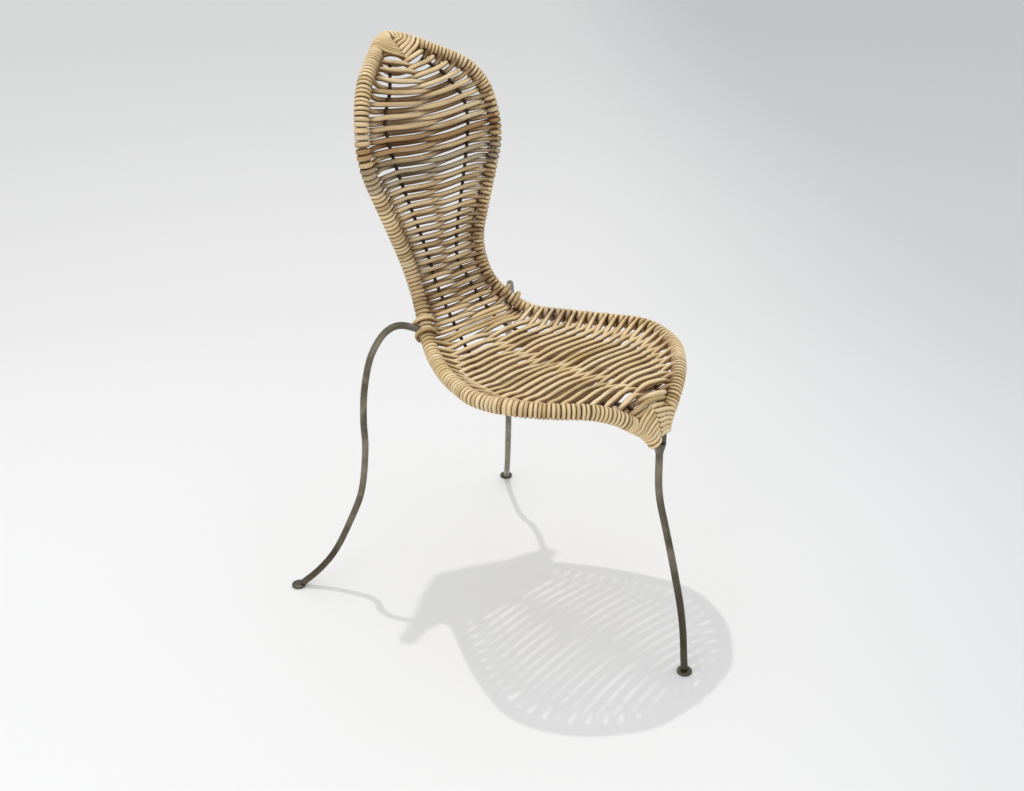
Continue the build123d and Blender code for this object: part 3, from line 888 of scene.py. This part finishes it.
def knee(station, turn, crossing, setback):
    """Where the right-hand part of a row turns to the rail."""
    if station < BAR_STATION:
        stations, halves, depths = zip(*KNEES)
        half, depth = (np.interp(station, stations, values) for values in (halves, depths))
        return under_rail(station, half, depth) - setback
    centre, _, normal, inward = rail_frame(turn)
    gap = norm(centre - crossing)
    square = inward * gap * 0.5 - normal * ((centre - crossing) @ normal) * 0.5
    return centre + square * BACK_SQUARENESS + (crossing - centre) * 0.5 * (1 - BACK_SQUARENESS)


def half_row(station, turn, side, lift, wound, drift):
    """Right-hand part of a row from its stake to the rail, and its turn round the rail."""
    crossing, normal, rearward = row_frame(station)
    setback = rearward * 0.5 * bow_at(station)
    crossing = crossing - setback
    bend = knee(station, turn, crossing, setback)
    inner_level, seat_level, back_level = KNEE_LEVELS
    inner = bend + (crossing - bend) * min(KNEE_REACH, KNEE_SLOPE / norm(crossing - bend))
    inner = inner + normal * side * lift * inner_level
    bend = bend + normal * side * lift * (seat_level if station < BAR_STATION else back_level)
    over = -side
    path = turn_path(turn, wound, turn_exit(turn, bend, over, wound), over * TURN_SWEEP, drift)
    stake_end = crossing + normal * side * lift
    run = [stake_end, inner, bend] if station < BAR_STATION else [stake_end, bend]
    return run, clear_of_middle(path, wound)


def row_middle(station, sides, lift, rng):
    """The part of a row between its stakes."""
    crossing, normal, rearward = row_frame(station)
    half = crossing[0]
    width = np.interp(station, *zip(*CROSSING_SHARES))
    shift = rng.uniform(-CROSSING_SHIFT, CROSSING_SHIFT)
    bow = bow_at(station) + rng.uniform(-BOW_SPREAD, BOW_SPREAD)
    points = []
    for share in np.linspace(-1, 1, 25)[1:-1]:
        blend = np.clip((share - shift * (1 - share * share)) / width, -1, 1)
        blend = (1 + sin(pi / 2 * blend)) / 2
        level = (1 - blend) * sides[0] + blend * sides[1]
        place = np.array((share * half, crossing[1], crossing[2]))
        points.append(place + normal * level * lift + rearward * bow * (0.5 - share * share))
    return points


def row_radii(count, first, last, wound, radius, rng):
    """Radii along a row: its wound cane's at its ends, and its usual ones between first and last."""
    places = np.arange(count)
    woven = np.clip(np.minimum(places - first, last - places) / THICKENING, 0, 1)
    wander = np.sin(places * rng.uniform(0.1, 0.3) + rng.uniform(0, 6))
    return (wound + (radius - wound) * woven) * (1 + THICKNESS_WANDER * wander)


def turn_shade(outward, station):
    """Painted light of a turn's places: lighter up and outward, with painted shade on the side that faces
    the weave and underneath.
    """
    _, _, normal, inward = rail_frame(station)
    usual, gain, least = TURN_SHADE
    return np.clip(usual + gain * (outward @ normal) - gain * (outward @ inward), least, 1)


def row_shade(path, station, level, ends, turns):
    """Directions in which a row is painted lit, and its painted shade along its path: darker at the under
    level and beside the rails.
    """
    crossing, normal, _ = row_frame(station)
    facing = np.tile(normal, (len(path), 1))
    usual, gain = LEVEL_SHADE
    # Painted shade: a row is lighter above the stakes' level and darker below it.
    worn = usual + gain * np.clip((path - crossing) @ normal / level, -1, 1)
    # Painted shade beside the rails: a row darkens as it comes near either rail.
    rail_shade = SEAT_RAIL_SHADE if station < BAR_STATION else BACK_RAIL_SHADE
    for part, end, mirror in zip(turns, ends, (-1, 1)):
        outward = path - RAIL.at(end) * (mirror, 1, 1)
        away = norm(outward, axis=1)
        worn *= 1 - rail_shade * np.clip((RAIL_SHADE_REACH - away) / (RAIL_SHADE_REACH - WRAP_RADIUS), 0, 1)
        facing[part] = units(outward[part])
        worn[part] = turn_shade(facing[part] * (mirror, 1, 1), end)
    return facing, worn


def turn_squash(room, radius):
    """How much a turn is drawn out or flattened along the rail to lie close to its neighbours."""
    return float(np.clip(room * TURN_FILL / radius, *TURN_SQUASH))


def row_size(station, rng):
    """Radii of a row between the rails and round them, and its height over the stakes."""
    radius = np.interp(station, *zip(*WOVEN_RADII)) + rng.uniform(-1, 1) * CANE_SPREAD
    if station in BAR_ROWS:
        radius = BAR_ROW_RADIUS
    wound = COIL_RADIUS + rng.uniform(-0.5, 0.5) * CANE_SPREAD
    lift = STAKE_RADIUS + radius - ROW_BEDDING
    if station in BAR_ROWS[1::2]:
        lift -= BAR_ROW_STEP
    return radius, wound, lift


def woven_row(tubes, station, sides, ends, rooms, rng):
    """One cane, round the left rail, across both stakes and round the right rail."""
    radius, wound, lift = row_size(station, rng)
    (left, left_turn), (right, right_turn) = [
        half_row(station, end, side, lift, wound, rng.uniform(-TURN_DRIFT, TURN_DRIFT))
        for end, side in zip(ends, sides)]
    left, left_turn = flipped(left), flipped(left_turn)
    across = even_path([left_turn[0], *left[::-1], *row_middle(station, sides, lift, rng), *right,
                        right_turn[0]])
    path = np.vstack([left_turn[:0:-1], across, right_turn[1:]])
    first = len(left_turn) - 1
    last = len(path) - len(right_turn)
    turns = slice(0, first), slice(last + 1, None)
    flat = np.zeros_like(path)
    flat[turns[0]] = flipped(RAIL.along(ends[0]))
    flat[turns[1]] = RAIL.along(ends[1])
    radii = row_radii(len(path), first, last, wound, radius, rng)
    facing, worn = row_shade(path, station, STAKE_RADIUS + radius, ends, turns)
    tubes.add(path, radii, cane_tone(ROW_TONES, rng), flat=flat, facing=facing, worn=worn,
              squash=turn_squash(np.mean(rooms), wound))


def cane_tone(spread, rng, usual=0.5):
    return np.clip(rng.normal(usual, spread), 0, 1)


def beyond(half):
    """Station next to the last cane of half a herringbone."""
    count, _, _, first_station, station_pitch, _ = half
    return first_station + station_pitch * count


def weave():
    """All the rows, and on each rail the turns of the coil that no row makes."""
    rng = np.random.default_rng(SEED)
    plans = {side: turn_plan(ROWS, REACHES[side], beyond(FRONT_HALVES[side]), beyond(TOP_HALVES[side]))
             for side in SIDES}
    for zone, stations in ZONES.items():
        groups = (Tubes(), Tubes())
        for station in stations:
            number = ROWS.index(station)
            sides = ((1, -1), (-1, 1))[number % 2]
            if station in BAR_ROWS or station < FRONT_ROWS_END:
                sides = (1, 1)
            ends = [plans[side][0][number] for side in SIDES]
            rooms = [room_round(end, sum(plans[side], [])) for side, end in zip(SIDES, ends)]
            woven_row(groups[number % 2], station, sides, ends, rooms, rng)
        for side, group in zip(SIDES, groups):
            name = zone + "_canes_over_" + side
            group.build(name, WOVEN, "woven_cane", name)
    return plans


def coils(plans):
    """Turns of cane round each rail where no row's end makes one."""
    rng = np.random.default_rng(SEED + 1)
    for side, (ends, fillers) in plans.items():
        seat, back = Tubes(), Tubes()
        for station in fillers:
            radius = COIL_RADIUS + rng.uniform(-0.5, 0.5) * CANE_SPREAD
            path = turn_path(station, radius, rng.uniform(-0.5, 0.5), 2 * pi * 0.985,
                             rng.uniform(-TURN_DRIFT, TURN_DRIFT), 30)
            flat = np.tile(RAIL.along(station), (len(path), 1))
            facing = units(path - RAIL.at(station))
            # Painted shade of the turn: darker on the side that faces the weave and underneath.
            worn = turn_shade(facing, station)
            if side == "left":
                path, flat, facing = flipped(path), flipped(flat), flipped(facing)
            group = seat if station < BAR_STATION else back
            group.add(path, radius, cane_tone(COIL_TONES, rng), flat=flat, facing=facing, worn=worn,
                      squash=turn_squash(room_round(station, ends + fillers), radius))
        seat.build(side + "_seat_coil", COILED, "coil_cane", side + "_seat_coil")
        back.build(side + "_back_coil", COILED, "coil_cane", side + "_back_coil")


def seam_turn(station, end, wound, slanting, lean):
    """Turn round the right-hand rail of a cane that comes from its end at the seam."""
    angle = turn_exit(station, end, 1, wound)
    start = turn_path(station, wound, angle, TURN_SWEEP)[0]
    slant = unit(start - end) @ RAIL.along(station)
    drift = slanting * slant * SEAM_SLANT * TURN_SWEEP * (ROD_RADIUS + wound)
    turn = turn_path(station, wound, angle, TURN_SWEEP, RAIL.within(station + drift) - station)
    return clear_of_middle(lean_over(turn, station, lean), wound)


def seam_cane(station, end, turn, radius, wound):
    """Path, directions that it is painted lit towards, and radii of a right-hand cane of a herringbone."""
    centre, _, normal, _ = rail_frame(station)
    reach = norm(turn[0] - end)
    run = hermite(end, unit(turn[0] - end) * reach, turn[0], unit(turn[1] - turn[0]) * reach, 8)
    path = np.vstack([run, turn[1:]])
    facing = path - centre
    facing[:len(run)] = normal
    radii = np.full(len(path), wound)
    radii[:len(run)] = np.linspace(radius, wound, len(run))
    radii[0] *= SEAM_TAPER
    return path, units(facing), radii


def chevron(name, seam, halves, seed, slanting=0.0, leaning=0.0):
    """Canes that come round one rail and over it, and meet the other side's at the seam."""
    rng = np.random.default_rng(seed)
    line = Line(smooth_path([(0, depth, height) for depth, height in seam]))
    for side, (count, first, pitch, first_station, station_pitch, usual) in halves.items():
        tubes = Tubes()
        for number in range(count):
            radius = usual + rng.uniform(-0.5, 0.5) * CANE_SPREAD
            wound = min(radius, SEAM_WOUND_RADIUS)
            station = first_station + station_pitch * number
            end = line.at(first + pitch * number) + (radius * SEAM_GAP, 0, 0)
            turn = seam_turn(station, end, wound, slanting, max(0.0, leaning - LEAN_LOSS * number))
            if len(turn) < SHORTEST_TURN:
                continue
            path, facing, radii = seam_cane(station, end, turn, radius, wound)
            if side == "left":
                path, facing = flipped(path), flipped(facing)
            # facing sets the painted shade: the cane's sides between its neighbours come out darker.
            tubes.add(path, radii, cane_tone(ROW_TONES, rng), facing=facing)
        tubes.build(side + name, WOVEN, "woven_cane", side + name)


def lashing_path(station, step):
    """Most of a wide turn round the right-hand rail, its ends tucked in and away from the leg."""
    shares = np.linspace(0, 1, 31)[:, None]
    outer = abs(2 * shares - 1)
    return round_rail(station, LASHING_TURN - LASHING_TUCK * outer ** 4,
                      pi + LASHING_SWEEP * (shares - 0.5), step * LASHING_SPLAY * outer)


def leg_lashings():
    """Two thick canes that bind each rear leg's root to the rail."""
    rng = np.random.default_rng(SEED + 3)
    slant = rear_leg_path().along(8.0) @ RAIL.along(LEG_STATION)
    across = (1 - slant ** 2) ** 0.5
    for side in ("right", "left"):
        tubes = Tubes()
        for step in (-1, 1):
            station = (LEG_STATION + LASHING_TURN * slant / across
                       + step * (ROD_RADIUS / across + LASHING_RADIUS + LASHING_GAP))
            path = lashing_path(station, step)
            facing = units(path - RAIL.at(station))
            if side == "left":
                path, facing = flipped(path), flipped(facing)
            # facing sets the painted shade: the cane's sides between its turns come out darker.
            tubes.add(path, LASHING_RADIUS, cane_tone(LASHING_TONES, rng, 0.45), LASHING_SIDES,
                      facing=facing)
        tubes.build(side + "_leg_lashing", COILED, "coil_cane", side + "_leg_lashing")


# Stage, with lengths in metres

# Floor colours: painted shade darkens the floor away from the chair and towards one side, where the light
# falls off.
FLOOR_NEAR = (0.877, 0.877, 0.877)
FLOOR_FAR = (0.81, 0.81, 0.805)
FLOOR_SIDE = (0.80, 0.812, 0.828)
FLOOR_AWAY = (0.73, 0.68, 0)
FLOOR_ASIDE = (0.68, -0.73, 0)
FLOOR_CORNERS = ((-30, -30, 0), (30, -30, 0), (30, 30, 0), (-30, 30, 0))
FLOOR_DROP = 0.0003
SKY_COLOUR = (0.98, 0.99, 1.0)
SKY_LEVELS = (0.60, 0.95)  # at the horizon and overhead

# Lamps: place, target, width, power and colour
LAMPS = {
    "key": ((0.30, 1.0, 4.4), (0.0, 0.0, 0.3), 0.07, 42, (1.0, 0.98, 0.95)),
    "fill": ((-2.6, -0.6, 2.2), (0.0, 0.0, 0.5), 1.6, 11, (1.0, 1.0, 1.0)),
}


def distance_along(tree, coords, direction):
    """Value socket of how far a place lies along a direction."""
    node = add_node(tree, "VectorMath", {0: coords, 1: direction}, operation="DOT_PRODUCT")
    return node.outputs["Value"]


def floor():
    """Pale floor with painted shade: it darkens a little with distance and towards one side, as the light
    falls off.
    """
    material, tree, shader, coords = new_material("floor")
    away = ease(tree, distance_along(tree, coords, FLOOR_AWAY), 0.1, 1.6)
    aside = ease(tree, distance_along(tree, coords, FLOOR_ASIDE), 0.1, 1.5)
    colour = mix(tree, away, (*FLOOR_NEAR, 1), (*FLOOR_FAR, 1))
    colour = mix(tree, aside, colour, (*FLOOR_SIDE, 1), "MULTIPLY")
    set_inputs(tree, shader, {"Base Color": colour, "Roughness": 0.9, "Specular IOR Level": 0.1})
    mesh = bpy.data.meshes.new("floor")
    mesh.from_pydata(FLOOR_CORNERS, [], [(0, 1, 2, 3)])
    mesh.materials.append(material)
    stage = bpy.data.objects.new("floor", mesh)
    bpy.context.scene.collection.objects.link(stage)
    stage.location.z = -FLOOR_DROP


def lamps():
    for name, (place_m, target_m, width, power, colour) in LAMPS.items():
        light = bpy.data.lights.new(name, "AREA")
        light.shape = "DISK"
        light.size = width
        light.energy = power
        light.color = colour
        lamp = bpy.data.objects.new(name, light)
        bpy.context.scene.collection.objects.link(lamp)
        lamp.location = place_m
        lamp.rotation_euler = (Vector(target_m) - Vector(place_m)).to_track_quat("-Z", "Y").to_euler()


def sky():
    """Soft light from all round, stronger towards the zenith."""
    world = bpy.data.worlds.new("studio")
    world.use_nodes = True
    tree = world.node_tree
    direction = add_node(tree, "TexCoord").outputs["Generated"]
    height = add_node(tree, "SeparateXYZ", {0: direction}).outputs[2]
    low, high = SKY_LEVELS
    level = add_node(tree, "MapRange", {0: height, 1: 0.0, 2: 1.0, 3: low, 4: high}).outputs[0]
    set_inputs(tree, tree.nodes["Background"], {"Strength": level, "Color": (*SKY_COLOUR, 1)})
    bpy.context.scene.world = world


def camera():
    azimuth, elevation = CAMERA_HEADING
    back = Vector((sin(azimuth) * cos(elevation), -cos(azimuth) * cos(elevation), sin(elevation)))
    right = Vector((cos(azimuth), sin(azimuth), 0))
    up = back.cross(right)
    data = bpy.data.cameras.new("camera")
    data.sensor_width = SENSOR_WIDTH
    data.lens = SENSOR_WIDTH * FOCAL_PIXELS / IMAGE_WIDTH
    eye = bpy.data.objects.new("camera", data)
    bpy.context.scene.collection.objects.link(eye)
    turn = Matrix((right, up, back)).transposed().to_4x4()
    eye.matrix_world = Matrix.Translation(Vector(CAMERA_PLACE) * MM) @ turn
    bpy.context.scene.camera = eye


camera()
side_rails()
stakes()
rear_legs()
front_leg()
foot("front_foot", *FRONT_FOOT)
foot("right_rear_foot", *REAR_FOOT)
foot("left_rear_foot", -REAR_FOOT[0], REAR_FOOT[1])
crossbar()
coils(weave())
chevron("_front_chevron", FRONT_SEAM, FRONT_HALVES, SEED + 4, slanting=1.0)
chevron("_top_chevron", TOP_SEAM, TOP_HALVES, SEED + 5, leaning=1.0)
leg_lashings()
floor()
lamps()
sky()
bpy.context.scene.view_settings.view_transform = "Standard"
